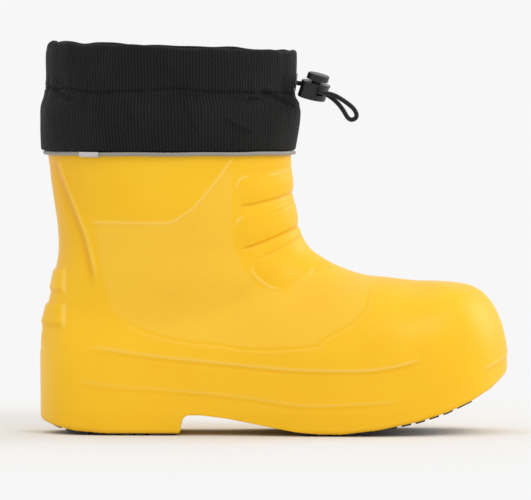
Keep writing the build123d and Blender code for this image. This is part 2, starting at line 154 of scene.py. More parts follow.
def to_area(x, z, corners):
    """Signed distance to a closed side-view outline, negative inside."""
    best = np.full(x.shape, 1e9)
    inside = np.zeros(x.shape, dtype=bool)
    for (x0, z0), (x1, z1) in zip(corners, np.roll(corners, -1, axis=0)):
        dx, dz = x1 - x0, z1 - z0
        t = np.clip(((x - x0) * dx + (z - z0) * dz) / (dx * dx + dz * dz + 1e-9), 0, 1)
        best = np.minimum(best, np.hypot(x - x0 - t * dx, z - z0 - t * dz))
        crosses = (z0 > z) != (z1 > z)
        with np.errstate(divide="ignore", invalid="ignore"):
            inside ^= crosses & (x < dx * (z - z0) / (dz if dz else 1e-9) + x0)
    return np.where(inside, -best, best)


def tube(points, radius, around=16, closed=False, shape=None):
    """Vertices and faces of a tube along points; shape(s, turn) adds to the radius."""
    p = np.asarray(points, dtype=float)
    if closed:
        ahead = np.roll(p, -1, axis=0) - np.roll(p, 1, axis=0)
    else:
        ahead = np.gradient(p, axis=0)
    ahead /= np.linalg.norm(ahead, axis=1)[:, None]
    side = np.cross(ahead[0], (0, 0, 1.0) if abs(ahead[0][2]) < 0.9 else (0, 1.0, 0))
    sides = []
    for direction in ahead:
        side = side - direction * np.dot(side, direction)
        side = side / np.linalg.norm(side)
        sides.append(side)
    sides = np.array(sides)
    ups = np.cross(sides, ahead)
    s = np.concatenate([[0], np.cumsum(np.linalg.norm(np.diff(p, axis=0), axis=1))])
    turn = np.arange(around) * 2 * math.pi / around
    reach = radius + (shape(s[:, None], turn[None, :]) if shape else np.zeros((len(p), around)))
    round_ = sides[:, None] * np.cos(turn)[None, :, None] + ups[:, None] * np.sin(turn)[None, :, None]
    verts = p[:, None] + round_ * reach[..., None]
    uv = np.stack(np.broadcast_arrays(turn[None] * radius, s[:, None]), -1)
    faces = grid_faces(len(p), around, flip=True).tolist()
    if closed:
        last = (len(p) - 1) * around
        for j in range(around):
            k = (j + 1) % around
            faces.append([last + j, j, k, last + k][::-1])
    else:
        faces.append(list(range(around)))
        faces.append([(len(p) - 1) * around + j for j in range(around)][::-1])
    return verts.reshape(-1, 3), faces, uv.reshape(-1, 2)


# ---- materials ----
def add_node(tree, kind, inputs=None, **settings):
    """A node with its settings, and its inputs linked or set."""
    made = tree.nodes.new(kind)
    for key, value in settings.items():
        setattr(made, key, value)
    for key, value in (inputs or {}).items():
        if isinstance(value, bpy.types.NodeSocket):
            tree.links.new(value, made.inputs[key])
        else:
            made.inputs[key].default_value = value
    return made


def maths(tree, operation, a, b=0.0, c=0.0):
    """The result of one Math node."""
    return add_node(tree, "ShaderNodeMath", {0: a, 1: b, 2: c}, operation=operation).outputs[0]


def noise(tree, where, scale, detail=3.0, rough=0.55):
    """Noise from 0 to 1, about 0.5."""
    inputs = {"Vector": where, "Scale": scale, "Detail": detail, "Roughness": rough}
    return add_node(tree, "ShaderNodeTexNoise", inputs).outputs[0]


def mixed(tree, amount, a, b):
    """Colour a at amount 0, colour b at 1."""
    made = tree.nodes.new("ShaderNodeMix")
    made.data_type = "RGBA"
    for socket, value in ((0, amount), (6, a), (7, b)):
        if isinstance(value, bpy.types.NodeSocket):
            tree.links.new(value, made.inputs[socket])
        else:
            made.inputs[socket].default_value = value
    return made.outputs[2]


def spread(tree, value, low, high):
    """A 0..1 value spread between two numbers."""
    return add_node(tree, "ShaderNodeMapRange", {0: value, 1: 0.3, 2: 0.7, 3: low, 4: high}).outputs[0]


def bumped(tree, height, distance, strength=1.0, normal=None):
    """A normal tilted by a height, on top of another normal if one is given."""
    inputs = {"Height": height, "Distance": distance, "Strength": strength}
    if normal is not None:
        inputs["Normal"] = normal
    return add_node(tree, "ShaderNodeBump", inputs).outputs[0]


def new_material(name):
    """A material, its tree, its shader and its texture coordinates."""
    made = bpy.data.materials.new(name)
    made.use_nodes = True
    tree = made.node_tree
    shader = next(n for n in tree.nodes if n.type == "BSDF_PRINCIPLED")
    where = tree.nodes.new("ShaderNodeTexCoord")
    return made, tree, shader, where


def rgba(r, g, b):
    """An opaque colour."""
    return (r, g, b, 1.0)


DOT_PITCH = 0.0016


def moulded(name, pale_tone_and_highlight, base, deep_tone_and_shade, rough, grain_scale, grain, level):
    """Moulded foam: base colour with a deeper mottle, painted highlights on raised edges, painted shade in
    creases and at the rear, a paler dotted quarter and a fine grain.
    """
    made, tree, shader, where = new_material(name)
    place = where.outputs["Object"]
    mottle = noise(tree, place, 28.0, 4.0)
    fine = noise(tree, place, grain_scale, 2.0)
    quarter = add_node(tree, "ShaderNodeAttribute", attribute_name="quarter").outputs["Fac"]
    axes = add_node(tree, "ShaderNodeSeparateXYZ", {0: place})
    wave_x = maths(tree, "SINE", maths(tree, "MULTIPLY", axes.outputs[0], 2 * math.pi / DOT_PITCH))
    wave_z = maths(tree, "SINE", maths(tree, "MULTIPLY", axes.outputs[2], 2 * math.pi / DOT_PITCH))
    raised = maths(tree, "MAXIMUM", maths(tree, "MULTIPLY", wave_x, wave_z), 0.0)
    dots = maths(tree, "MULTIPLY", raised, quarter)
    painted_light_and_tone = add_node(tree, "ShaderNodeAttribute", attribute_name="painted_light_and_tone").outputs["Fac"]
    painted_light_and_tone = maths(tree, "ADD", painted_light_and_tone, maths(tree, "MULTIPLY", dots, 0.16))
    colour = mixed(tree, spread(tree, mottle, 0.0, 0.22), base, deep_tone_and_shade)
    # painted highlight on raised edges, and the quarter's paler tone, where the value is positive
    colour = mixed(tree, maths(tree, "MAXIMUM", painted_light_and_tone, 0.0), colour, pale_tone_and_highlight)
    # painted shade in creases and at the rear where the value is negative; the deep colour is also the
    # mottle's deeper tone
    colour = mixed(tree, maths(tree, "MAXIMUM", maths(tree, "MULTIPLY", painted_light_and_tone, -1.0), 0.0), colour, deep_tone_and_shade)
    tree.links.new(colour, shader.inputs["Base Color"])
    tree.links.new(spread(tree, mottle, rough - 0.04, rough + 0.07), shader.inputs["Roughness"])
    shader.inputs["Specular IOR Level"].default_value = level
    normal = bumped(tree, dots, 0.00007)
    tree.links.new(bumped(tree, fine, grain, 1.0, normal), shader.inputs["Normal"])
    return made


def cloth(name, dark, light, warp, weft, depth, rough, slant=0.0, sheen=0.3):
    """Woven cloth with ribs along the UV's second axis, warp wide, crossed every weft; its colour is the
    yarn's own with painted shade in the hollows and painted light on the raised threads.
    """
    made, tree, shader, where = new_material(name)
    axes = add_node(tree, "ShaderNodeSeparateXYZ", {0: where.outputs["UV"]})
    place = where.outputs["Object"]
    wobble = maths(tree, "MULTIPLY", noise(tree, place, 160.0, 2.0), 0.0006)
    across = maths(tree, "ADD", axes.outputs[0], maths(tree, "MULTIPLY", axes.outputs[1], slant))
    across = maths(tree, "ADD", across, wobble)
    rib = maths(tree, "SINE", maths(tree, "MULTIPLY", across, 2 * math.pi / warp))
    shifted = maths(tree, "ADD", axes.outputs[1], maths(tree, "MULTIPLY", across, 0.35))
    pick = maths(tree, "SINE", maths(tree, "MULTIPLY", shifted, 2 * math.pi / weft))
    height = maths(tree, "ADD", maths(tree, "MULTIPLY", rib, 0.42), maths(tree, "MULTIPLY", pick, 0.46))
    fuzz = noise(tree, place, 2600.0, 2.0)
    height = maths(tree, "ADD", height, maths(tree, "MULTIPLY", fuzz, 0.5))
    lit = add_node(tree, "ShaderNodeMapRange", {0: height, 1: -0.3, 2: 0.9, 3: 0.0, 4: 1.0}).outputs[0]
    wear = noise(tree, place, 35.0, 3.0)
    lit = maths(tree, "MULTIPLY", lit, spread(tree, wear, 0.6, 1.0))
    # the yarn's colour with painted shade in the weave's hollows and painted light on its raised threads
    tree.links.new(mixed(tree, lit, dark, light), shader.inputs["Base Color"])
    tree.links.new(spread(tree, fuzz, rough - 0.08, rough + 0.08), shader.inputs["Roughness"])
    shader.inputs["Sheen Weight"].default_value = sheen
    shader.inputs["Sheen Roughness"].default_value = 0.5
    shader.inputs["Specular IOR Level"].default_value = 0.15
    tree.links.new(bumped(tree, height, depth), shader.inputs["Normal"])
    return made


def plain(name, colour, other, rough, scale, grain, metal=0.0, level=0.5):
    """Plastic, metal or foam with a fine grain and a little variation."""
    made, tree, shader, where = new_material(name)
    place = where.outputs["Object"]
    mottle = noise(tree, place, scale, 4.0)
    fine = noise(tree, place, scale * 14, 2.0)
    tree.links.new(mixed(tree, spread(tree, mottle, 0.0, 1.0), colour, other), shader.inputs["Base Color"])
    tree.links.new(spread(tree, mottle, rough - 0.05, rough + 0.08), shader.inputs["Roughness"])
    shader.inputs["Metallic"].default_value = metal
    shader.inputs["Specular IOR Level"].default_value = level
    tree.links.new(bumped(tree, fine, grain), shader.inputs["Normal"])
    return made


# Colours: pale for painted highlights and the quarter's paler tone, base, and deep for the mottle and painted
# shade.
SHELL = moulded(
    "moulded_foam", rgba(0.94, 0.65, 0.15), rgba(0.92, 0.528, 0.013), rgba(0.81, 0.395, 0.004),
    rough=0.36, grain_scale=1500, grain=0.00005, level=0.22,
)
TREAD = plain("tread_rubber", rgba(0.012, 0.012, 0.013), rgba(0.028, 0.027, 0.026), 0.6, 90, 0.00008)
NYLON = cloth(
    "cuff_nylon", rgba(0.0008, 0.0008, 0.0008), rgba(0.021, 0.021, 0.0205),
    warp=0.0021, weft=0.0014, depth=0.00035, rough=0.65, slant=0.06, sheen=0.0,
)
LINING = cloth(
    "lining_cloth", rgba(0.012, 0.012, 0.013), rgba(0.05, 0.05, 0.052),
    warp=0.0009, weft=0.0009, depth=0.00012, rough=0.8,
)
KNIT = cloth(
    "sock_knit", rgba(0.10, 0.10, 0.105), rgba(0.24, 0.24, 0.25),
    warp=0.0016, weft=0.0011, depth=0.0003, rough=0.85,
)
COVER = cloth(
    "footbed_cloth", rgba(0.03, 0.03, 0.032), rgba(0.09, 0.09, 0.095),
    warp=0.0012, weft=0.0012, depth=0.0002, rough=0.85,
)
FOAM = plain("footbed_foam", rgba(0.20, 0.20, 0.21), rgba(0.27, 0.27, 0.28), 0.8, 160, 0.0001)
PIPING = cloth(
    "piping_weave", rgba(0.26, 0.25, 0.21), rgba(0.46, 0.44, 0.38),
    warp=0.0007, weft=0.0006, depth=0.0001, rough=0.4, slant=0.5,
)
TAB = cloth(
    "tab_weave", rgba(0.42, 0.41, 0.40), rgba(0.74, 0.73, 0.71),
    warp=0.0006, weft=0.0008, depth=0.0001, rough=0.7,
)
CORD = cloth(
    "cord_braid", rgba(0.003, 0.003, 0.003), rgba(0.02, 0.02, 0.02),
    warp=0.0009, weft=0.0009, depth=0.00008, rough=0.6,
)
THREAD = cloth(
    "thread", rgba(0.002, 0.002, 0.002), rgba(0.014, 0.014, 0.014),
    warp=0.0004, weft=0.0004, depth=0.00005, rough=0.7, sheen=0.0,
)
PLASTIC = plain(
    "lock_plastic", rgba(0.007, 0.007, 0.007), rgba(0.011, 0.011, 0.0105), 0.34, 60, 0.00003, level=0.35,
)
METAL = plain("eyelet_metal", rgba(0.10, 0.10, 0.105), rgba(0.17, 0.17, 0.175), 0.34, 80, 0.00002, 1.0)
STEEL = plain("spring_steel", rgba(0.5, 0.5, 0.5), rgba(0.6, 0.6, 0.6), 0.3, 80, 0.00001, 1.0)

# ---- free cord ----
CORD_POINTS = [
    (15.6, -1.55, 225.77),
    (18.95, -1.55, 225.45),
    (20.97, -3.52, 224.57),
    (26.1, -8.65, 222.17),
    (31.25, -13.78, 219.76),
    (38.6, -18.2, 218.8),
    (45.2, -19.6, 215.0),
    (52.4, -20.6, 209.6),
    (54.5, -20.8, 203.8),
    (49.0, -20.2, 201.6),
    (44.6, -18.8, 209.8),
    (39.4, -15.6, 215.4),
    (33.24, -11.62, 219.4),
    (28.1, -6.49, 221.8),
    (22.96, -1.36, 224.21),
    (20.04, 1.55, 225.5),
    (15.6, 1.55, 225.77),
]
CORD_RADIUS = 1.45
curve = bpy.data.curves.new("cord_line", "CURVE")
curve.dimensions = "3D"
curve.resolution_u = 14
spline = curve.splines.new("NURBS")
spline.points.add(len(CORD_POINTS) - 1)
for point, (x, y, z) in zip(spline.points, CORD_POINTS):
    point.co = (x * MM, y * MM, z * MM, 1.0)
spline.order_u = 3
spline.use_endpoint_u = True
curve_object = bpy.data.objects.new("cord_line", curve)
scene.collection.objects.link(curve_object)
shown_curve = curve_object.evaluated_get(bpy.context.evaluated_depsgraph_get())
line_mesh = bpy.data.meshes.new_from_object(shown_curve)
cord_line = np.array([v.co[:] for v in line_mesh.vertices]) / MM
bpy.data.objects.remove(curve_object)
steps = np.concatenate([[0], np.cumsum(np.linalg.norm(np.diff(cord_line, axis=0), axis=1))])
cord_length = steps[-1]
even = np.linspace(0, cord_length, 420)
cord_line = np.stack([np.interp(even, steps, cord_line[:, i]) for i in range(3)], -1)


BRAID_PITCH = 1.7


def braid(s, turn):
    """The strands of a round braid, which cross."""
    lay = s * 2 * math.pi / BRAID_PITCH
    one = np.sin(8 * turn + lay)
    other = np.sin(8 * turn - lay)
    return 0.07 * np.maximum(one, other) - 0.03


verts, faces, uv = tube(cord_line, CORD_RADIUS, 32, shape=braid)
cord = link("cord_loop", mesh_of("cord_loop", verts, faces, uv * MM), CORD)

# ---- the lock's spring, round the lock's own axis ----
LOCK_CENTRE = np.array([26.2, -6.9, 221.0])
LOCK_ACROSS = np.array([0.67215, -0.67036, -0.31438])
LOCK_ALONG = np.array([0.67215, 0.73052, -0.12064])
LOCK_UP = np.array([0.310528, -0.130222, 0.941602])
SPRING_FOOT = -4.05
SPRING_HEIGHT = 2.5
SPRING_RADIUS = 2.1
SPRING_WIRE_RADIUS = 0.2
wind = np.linspace(0, 6 * math.pi, 160)[:, None]
coil = LOCK_CENTRE + LOCK_UP * (SPRING_FOOT + SPRING_HEIGHT * wind / wind[-1])
coil = coil + SPRING_RADIUS * (LOCK_ACROSS * np.cos(wind) + LOCK_ALONG * np.sin(wind))
verts, faces, spring_uv = tube(coil, SPRING_WIRE_RADIUS, 10)
spring = link("lock_spring", mesh_of("lock_spring", verts, faces, spring_uv * MM), STEEL)
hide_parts("cord_lock_spring")
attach(spring, "cord_lock")
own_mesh(spring)

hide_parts("drawcord_leads", "drawcord_loop")
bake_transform(cord)

# ---- moulded shell: a smooth field cast along rays ----
SHELL_TOP = 180.6
SOLE_OUTLINE = [
    (-149.8, 1.0), (-139.5, -27.0), (-112.0, -39.5), (-70.0, -41.5), (-28.0, -43.5), (12.0, -51.0),
    (50.0, -56.0), (92.0, -52.5), (126.0, -37.5), (146.5, -12.0), (151.5, 12.0), (142.0, 36.0),
    (113.0, 52.0), (74.0, 56.0), (34.0, 50.5), (-6.0, 40.5), (-44.0, 37.0), (-82.0, 38.5),
    (-116.0, 39.0), (-140.0, 27.0),
]
# Height, back, front, half width and egg shape of the shaft's levels.
SHAFT = np.array([
    (40, -149.0, 40, 36, 0.20), (50, -149.2, 40, 36, 0.20), (68, -149.6, 52, 37, 0.25),
    (84, -145.4, 56, 39, 0.28),
    (97, -142.4, 54, 41.5, 0.28), (102.5, -141.3, 49, 42.5, 0.27), (107, -140.5, 41.5, 43.5, 0.25),
    (112, -139.3, 31.9, 44.5, 0.21), (117.5, -138.6, 23.9, 45.5, 0.17), (124, -138.6, 19.4, 47, 0.13),
    (135, -139.3, 16.2, 49, 0.10), (150, -141.6, 13.2, 51.5, 0.08), (165, -143.8, 12.2, 53, 0.07),
    (SHELL_TOP, -145.5, 11.6, 54, 0.06), (200, -147.8, 10.9, 55.2, 0.05),
])
UNDERSIDE = np.array([
    (-170, 13), (-153, 9.6), (-142, 5.6), (-128, 2.6), (-108, 1.2), (44, 1.2), (68, 4), (94, 9.4), (112, 15),
    (128, 22), (141, 29.5), (153, 40), (170, 58),
])
ARCH = np.array([
    (-59.8, 1.2), (-59.2, 7.5), (-57.6, 11.6), (-54.8, 13.0), (-46, 13.0), (-30, 11.0),
    (-8, 6.8), (14, 2.6), (29, 1.2),
])
VAMP_TOP = np.array([
    (-200, 100), (30, 102.0), (60, 101.6), (75, 100.2), (93, 97.8), (110, 97.4), (120, 96.4),
    (135, 94.5), (160, 92),
])
FLOOR_LINE = np.array([(-150, 17), (72, 17), (98, 20.5), (120, 29), (136, 38), (156, 54)])


def table(levels, column, at, soft=3.0):
    """A column of a height table, smoothed."""
    fine = np.arange(levels[0, 0] - 20, levels[-1, 0] + 20, 0.5)
    values = np.interp(fine, levels[:, 0], levels[:, column])
    kernel = np.exp(-((np.arange(-24, 25) * 0.5 / soft) ** 2) / 2)
    values = np.convolve(np.pad(values, 24, mode="edge"), kernel / kernel.sum(), mode="valid")
    return np.interp(at, fine, values)


outline = through(SOLE_OUTLINE, 18, closed=True)
grid_x = np.arange(-172.0, 173.0, 1.0)
grid_y = np.arange(-75.0, 76.0, 1.0)
flat_x, flat_y = np.meshgrid(grid_x, grid_y, indexing="ij")
outline_field = to_area(flat_x, flat_y, outline)


def outline_distance(x, y):
    """Distance to the sole's outline in plan, negative inside."""
    u = np.clip(x - grid_x[0], 0, len(grid_x) - 1.001)
    v = np.clip(y - grid_y[0], 0, len(grid_y) - 1.001)
    i, j = u.astype(int), v.astype(int)
    a, b = u - i, v - j
    f = outline_field
    near = f[i, j] * (1 - a) + f[i + 1, j] * a
    far = f[i, j + 1] * (1 - a) + f[i + 1, j + 1] * a
    return near * (1 - b) + far * b


def foot_field(x, y, z):
    """Rough distance to the foot's form, negative inside."""
    top = table(VAMP_TOP, 1, x, 5.0)
    rise = np.clip((z - 45) / (top - 45), 0, None)
    blunt = 1 + 1.0 * fade(80, 140, x)
    inset = np.interp(z, [0, 14, 40], [1.4, 0.3, 0])
    reach = np.clip(1 + blunt * (outline_distance(x, y) + inset) / 54, 0, None)
    return (np.sqrt(rise**2.2 + reach**2) - 1) * 54 / blunt


def shaft_field(x, y, z):
    """Rough distance to the shaft's form, negative inside."""
    back, front, half, egg = (table(SHAFT, i, z) for i in (1, 2, 3, 4))
    reach = (front - back) / 2
    c = (x - (front + back) / 2) / reach
    width = half * (1 - egg * np.clip(c, -1, 1))
    q = y / width
    g = np.sqrt(c * c + q * q) + 1e-6
    return (g - 1) * g / np.sqrt((c / reach) ** 2 + (q / width) ** 2 + 1e-9)


def joined(a, b, k):
    """The union of two forms, blended over k."""
    h = np.clip(0.5 + 0.5 * (b - a) / k, 0, 1)
    return b * (1 - h) + a * h - k * h * (1 - h)


def boot_field(x, y, z, offset, floor):
    """The boot's form moved in by offset, down to floor above the floor's line or to the underside."""
    k = 5.0 + 11.0 * fade(-50, 20, x)
    body = joined(foot_field(x, y, z), shaft_field(x, y, z), k) + offset
    line, rise = (UNDERSIDE, 0.0) if floor is None else (FLOOR_LINE, floor)
    under = np.interp(x, line[:, 0], line[:, 1]) + rise - z
    return -joined(-body, -under, 2.6)


def fan(top, counts):
    """Centres and the two directions of each row, from the rim down the shaft and out to the toe."""
    centres, fronts, tips = [], [], []
    for z in np.linspace(top, 135, counts[0], endpoint=False):
        centres.append((-50, 0, z))
        fronts.append((1, 0, 0))
        tips.append(0.0)
    for phi in np.linspace(0, math.pi / 2, counts[1], endpoint=False):
        centres.append((45 - 95 * math.cos(phi), 0, 135 - 95 * math.sin(phi)))
        fronts.append((math.cos(phi), 0, math.sin(phi)))
        tips.append(0.0)
    for x in np.linspace(45, 105, counts[2], endpoint=False):
        centres.append((x, 0, 40))
        fronts.append((0, 0, 1))
        tips.append(0.0)
    for alpha in np.linspace(0, math.radians(89.4), counts[3]):
        centres.append((105, 0, 40))
        fronts.append((0, 0, 1))
        tips.append(alpha)
    return np.array(centres, float), np.array(fronts, float), np.array(tips)


def cast(top, counts, cols, offset=0.0, floor=None):
    """A grid of points on the boot's form."""
    centres, fronts, tips = fan(top, counts)
    turn = np.arange(cols) * 2 * math.pi / cols
    outer_side = np.array([0, -1.0, 0])
    flat = fronts[:, None] * np.cos(turn)[None, :, None] + outer_side * np.sin(turn)[None, :, None]
    tip = np.array([0.993, 0.12, 0.0])
    rays = flat * np.cos(tips)[:, None, None] + tip * np.sin(tips)[:, None, None]
    start = np.broadcast_to(centres[:, None], rays.shape)
    low = np.full(rays.shape[:2], 4.0)
    high = np.full(rays.shape[:2], 200.0)
    found = np.zeros(rays.shape[:2], dtype=bool)
    for t in np.linspace(6, 200, 38):
        p = start + rays * t
        out = boot_field(p[..., 0], p[..., 1], p[..., 2], offset, floor) > 0
        high = np.where(out & ~found, t, high)
        found |= out
        low = np.where(found, low, t)
    for _ in range(15):
        middle = (low + high) / 2
        p = start + rays * middle[..., None]
        out = boot_field(p[..., 0], p[..., 1], p[..., 2], offset, floor) > 0
        high = np.where(out, middle, high)
        low = np.where(out, low, middle)
    return start + rays * ((low + high) / 2)[..., None], rays


def normals_of(points, rays):
    """The outward normals of a cast grid."""
    across = np.roll(points, -1, axis=1) - np.roll(points, 1, axis=1)
    down = np.gradient(points, axis=0)
    n = np.cross(across, down)
    n /= np.linalg.norm(n, axis=-1)[..., None] + 1e-9
    return n * np.sign((n * rays).sum(-1) + 1e-9)[..., None]


LINES_FORWARD = 0.65


def moved(line):
    """A smooth line through side-view points."""
    return through([(x + LINES_FORWARD, z) for x, z in line], 6)


WELT = moved([
    (-124, 56), (-108, 55), (-89, 52.2), (-68, 49.6), (-35.5, 46.4), (-10, 44), (14.5, 42.2), (39, 41.8),
    (59, 42.1), (76, 44.3), (87, 47), (96, 50),
])
WELT_TIP = moved([(132, 41), (140, 44), (149, 49), (156, 54)])
WELT_LOW = moved([
    (-127.5, 35), (-119, 33.2), (-99.7, 30.9), (-73, 29.3), (-35.5, 26.1), (-10, 23), (14.5, 19.6),
    (27, 19.1), (51.5, 20.3), (71, 21.4), (84, 23),
])
RIDGE = moved([
    (-138.4, 178), (-134, 164), (-128.7, 150), (-120.5, 128.4), (-116.4, 112), (-114.7, 102.9), (-114, 92),
])
PANEL = moved([
    (-121, 136.8), (-95, 136.8), (-69, 136.8), (-60.4, 140.5), (-52.8, 145.6), (-45.2, 153.9),
    (-38.8, 161.6), (-32.4, 170.5), (-27.3, 177),
])
QUARTER_FOOT = moved([
    (-104, 78), (-92.2, 69.4), (-78, 63.3), (-55.3, 58.3), (-35.5, 56.6), (-17, 53.8), (8.4, 54.4),
    (27.5, 56.5), (34.2, 61.9), (49, 70.3), (59.4, 80), (62, 87.2), (64.5, 100.8),
])
QUARTER = np.array([
    (-92.2, 69.4), (-78, 63.3), (-55.3, 58.3), (-35.5, 56.6), (-17, 53.8), (8.4, 54.4), (27.5, 56.5),
    (34.2, 61.9), (49, 70.3), (59.4, 80), (61.4, 87.2), (64.5, 100.8), (62, 112), (24, 104), (8, 91),
    (-10, 95), (-20, 108), (-27, 125), (-27, 170), (-32.4, 170.5), (-38.8, 161.6), (-45.2, 153.9),
    (-52.8, 145.6), (-60.4, 140.5), (-69, 136.8), (-115, 136.8), (-113, 120), (-110, 103), (-104, 80),
]) + np.array([LINES_FORWARD, 0])
# Raised ribs at the ankle: side-view outline and height.
FLEX = [
    ([
        (-19.7, 165.6), (-12, 165.8), (-4.4, 166.5), (10.3, 169.4), (40, 174), (40, 160), (9.6, 154.8),
        (-8.6, 150.4), (-18, 148.8), (-22.5, 151), (-24, 158),
    ], 0.75),
    ([
        (40, 158), (9.6, 152.2), (-8.6, 147.6), (-19, 145.8), (-23.5, 141), (-23.2, 132), (-21, 124.5),
        (-17.5, 121.4), (-2.3, 126.8), (14.5, 134), (40, 146),
    ], 0.85),
    ([
        (60, 146), (14.5, 131), (-2.3, 123.8), (-16, 118.6), (-15.4, 112), (-13.2, 106), (-8.6, 99.6),
        (-0.2, 94.4), (6.8, 94.0), (21.5, 101), (27, 107), (44, 112),
    ], 0.6),
]
# Creases: side-view line, depth, width, strength of the painted shade, and how much of the start fades in.
FLEX_LINES = [
    ([(-23, 147.0), (-15, 147.9), (-8.6, 149.2), (0, 151.0), (9.6, 153.8), (22, 158)], 0.9, 0.9, 0.95, 0.12),
    ([(-21, 119.2), (-12, 121.8), (-2.3, 125.4), (6, 129.0), (14.5, 132.7), (28, 139)], 1.0, 0.9, 0.95, 0.12),
    ([(-6, 142.2), (1.2, 143.4), (10.3, 147.2), (22, 152)], 0.35, 1.0, 0.35, 0.5),
    ([(-6, 145.4), (3.2, 147.4), (12.3, 150.6), (22, 154)], 0.25, 0.8, 0.2, 0.5),
    ([(-12, 112.6), (-4, 115.6), (4.7, 120.0), (15.2, 125.6), (28, 132)], 0.5, 1.2, 0.45, 0.3),
    ([(-20, 169.6), (-4.4, 170.2), (10.3, 172.6), (22, 175)], 0.25, 0.9, 0.2, 0.4),
]
# Raised edges with painted highlights: side-view line, height and width.
FLEX_EDGES = [
    ([
        (-12.4, 110.5), (-13.4, 105.9), (-11.5, 102.4), (-8.2, 99.2), (-4.2, 96.4), (0.2, 94.4),
        (7.2, 93.6),
    ], 0.35, 0.8),
    ([(26.3, 107.2), (24.6, 104.6), (22.0, 101.9)], 0.25, 0.8),
    ([(-23.6, 157.4), (-22.8, 162.4), (-19.7, 165.8), (-14, 166.5)], 0.15, 0.8),
    ([(-24.0, 134.2), (-22.6, 138.4), (-18.7, 140.8)], 0.15, 0.8),
    ([(-4.4, 166.9), (3.0, 168.0), (12.3, 170.3)], 0.15, 0.8),
]
# Heel ribs: lowest and highest point, and height.
KICKS = [(91.2, 106.6, 1.5), (69.2, 84.4, 1.5)]


def relief(x, y, z):
    """Height of the moulded detail and its colour shift: positive is paler, painted highlight on raised edges
    and the quarter's paler tone; negative is deeper, painted shade in creases, below edges and at the rear.
    """
    height = np.zeros(x.shape)
    painted_light_and_tone = np.zeros(x.shape)
    for line, ends, size in (
        (WELT, (0.0, 0.10, 0.90, 1.0), 1.0),
        (WELT_LOW, (0.0, 0.08, 0.88, 1.0), 0.6),
        (WELT_TIP, (0.0, 0.3, 0.9, 1.01), 0.8),
    ):
        d, s = to_line(x, z, line)
        keep = fade(ends[0], ends[1], s) * (1 - fade(ends[2], ends[3], s)) * size
        step = fade(-1.4, 1.2, d) * np.exp(-np.clip(d, 0, None) / 12)
        height += keep * (0.6 * step - 0.2 * dip(d + 2.0, 1.4))
        # painted highlight along the line's upper edge and painted shade just below it
        painted_light_and_tone += keep * (0.6 * dip(d - 0.4, 0.9) - 0.4 * dip(d + 1.6, 1.1))
    d, s = to_line(x, z, RIDGE)
    keep = fade(0.0, 0.05, s) * (1 - fade(0.7, 1.0, s)) * (x < -100)
    height += keep * (0.8 * dip(d, 1.6) - 0.9 * dip(d + 4.5, 3.0))
    # painted highlight on the ridge and painted shade on its rear side
    painted_light_and_tone += keep * (0.8 * dip(d, 0.8) - 0.75 * dip(d + 3.0, 2.4))
    d, s = to_line(x, z, PANEL)
    keep = fade(0.0, 0.04, s)
    height += keep * (0.30 * dip(d, 0.9) - 0.25 * dip(d + 1.6, 0.9))
    # painted highlight along the panel's bead
    painted_light_and_tone += keep * 0.55 * dip(d, 0.8)
    d, s = to_line(x, z, QUARTER_FOOT)
    keep = fade(0.0, 0.08, s) * (1 - fade(0.92, 1.0, s))
    height += keep * (0.12 * dip(d, 1.0) - 0.3 * dip(d - 1.8, 1.1))
    # painted highlight on the quarter's edge and painted shade in the groove beside it
    painted_light_and_tone += keep * (0.12 * dip(d, 0.9) - 0.3 * dip(d - 1.8, 0.8))
    quarter = 1 - fade(-1.0, 1.0, to_area(x, z, QUARTER))
    painted_light_and_tone += 0.11 * quarter
    # painted shade: the rear of the shaft darker, where less light reaches it
    painted_light_and_tone -= 0.6 * (1 - fade(-148, -112, x)) * fade(96, 118, z)
    for corners, size in FLEX:
        d = to_area(x, z, through([(a + LINES_FORWARD, b) for a, b in corners], 5, closed=True))
        height += size * (1 - fade(-6.5, 0.8, d))
    for line, depth, width, dark, start in FLEX_LINES:
        d, s = to_line(x, z, through(line, 5))
        keep = fade(0.0, start, s)
        height -= keep * depth * dip(d, width)
        # painted shade in the crease
        painted_light_and_tone -= keep * dark * dip(d, 0.75 * width)
    for line, rise, width in FLEX_EDGES:
        d, s = to_line(x, z, through(line, 5))
        keep = fade(0.0, 0.25, s) * (1 - fade(0.75, 1.0, s))
        height += keep * rise * dip(d, width)
        # painted highlight along the raised edge
        painted_light_and_tone += keep * 0.55 * dip(d, width)
    for low, high, size in KICKS:
        plateau = fade(low, low + 2.2, z) * (1 - fade(high - 2.2, high, z)) * (1 - fade(-137.5, -134.0, x))
        height += size * plateau
        # painted highlight along the rib's side ends and painted shade along its top and bottom edges
        edge = (z > low) * (z < high) * dip(x + 134.6, 0.9)
        painted_light_and_tone += 0.7 * edge - 0.4 * (dip(z - low, 0.8) + dip(z - high, 0.8)) * (x < -135)
    for level in (55.0, 66.0):
        height -= 0.35 * dip(z - level, 0.9) * (1 - fade(-136, -132, x))
    arch = np.interp(x, ARCH[:, 0], ARCH[:, 1], left=0, right=0)
    low = fade(arch + 1, arch + 5, z)
    return height * low, np.clip(painted_light_and_tone, -1, 1), quarter


SHELL_ROWS = (60, 230, 64, 96)
SHELL_COLS = 600
outer, rays = cast(SHELL_TOP, SHELL_ROWS, SHELL_COLS)
normals = normals_of(outer, rays)
height, painted_light_and_tone, quarter = relief(outer[..., 0], outer[..., 1], outer[..., 2])
height *= fade(-0.5, 2.5, SHELL_TOP - outer[..., 2])
outer = outer + normals * height[..., None]
in_arch = (outer[..., 0] > ARCH[0, 0]) & (outer[..., 0] < ARCH[-1, 0])
arch_z = np.interp(outer[..., 0], ARCH[:, 0], ARCH[:, 1])
outer[..., 2] = np.where(in_arch, np.maximum(outer[..., 2], arch_z), outer[..., 2])
inner, _ = cast(SHELL_TOP, (14, 52, 16, 24), SHELL_COLS, 4.0, 0.0)


